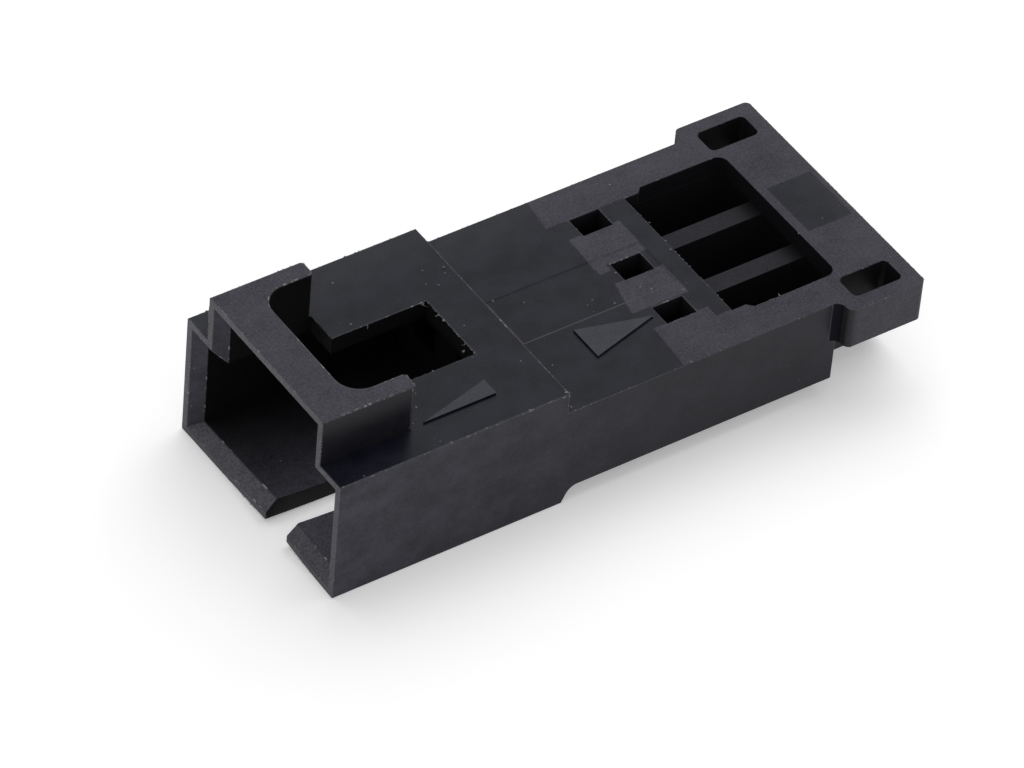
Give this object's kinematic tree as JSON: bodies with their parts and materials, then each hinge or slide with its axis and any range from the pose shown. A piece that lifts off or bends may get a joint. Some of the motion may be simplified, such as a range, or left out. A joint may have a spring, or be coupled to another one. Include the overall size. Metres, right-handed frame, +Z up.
{
  "type": "wire to board connector housing",
  "caption": "Black moulded connector housing with a raised bridge over its mating mouth, contact bores, lock windows, an open bay over the contacts and two slotted mounting ears.",
  "frame": {"origin": "centre of the bounding box, on the underside of the mating shroud", "axes": "+X from the mating mouth to the wire end, +Z up to the bridge, +Y to the side without the arrow"},
  "size_m": [0.0236, 0.0108, 0.0071],
  "materials": {
    "black_plastic": "charcoal black glass-filled moulding, fine spark-eroded grain with smoother patches where ejectors and inserts met it"
  },
  "bodies": {
    "root": {"housing": "black_plastic"}
  },
  "joints": []
}
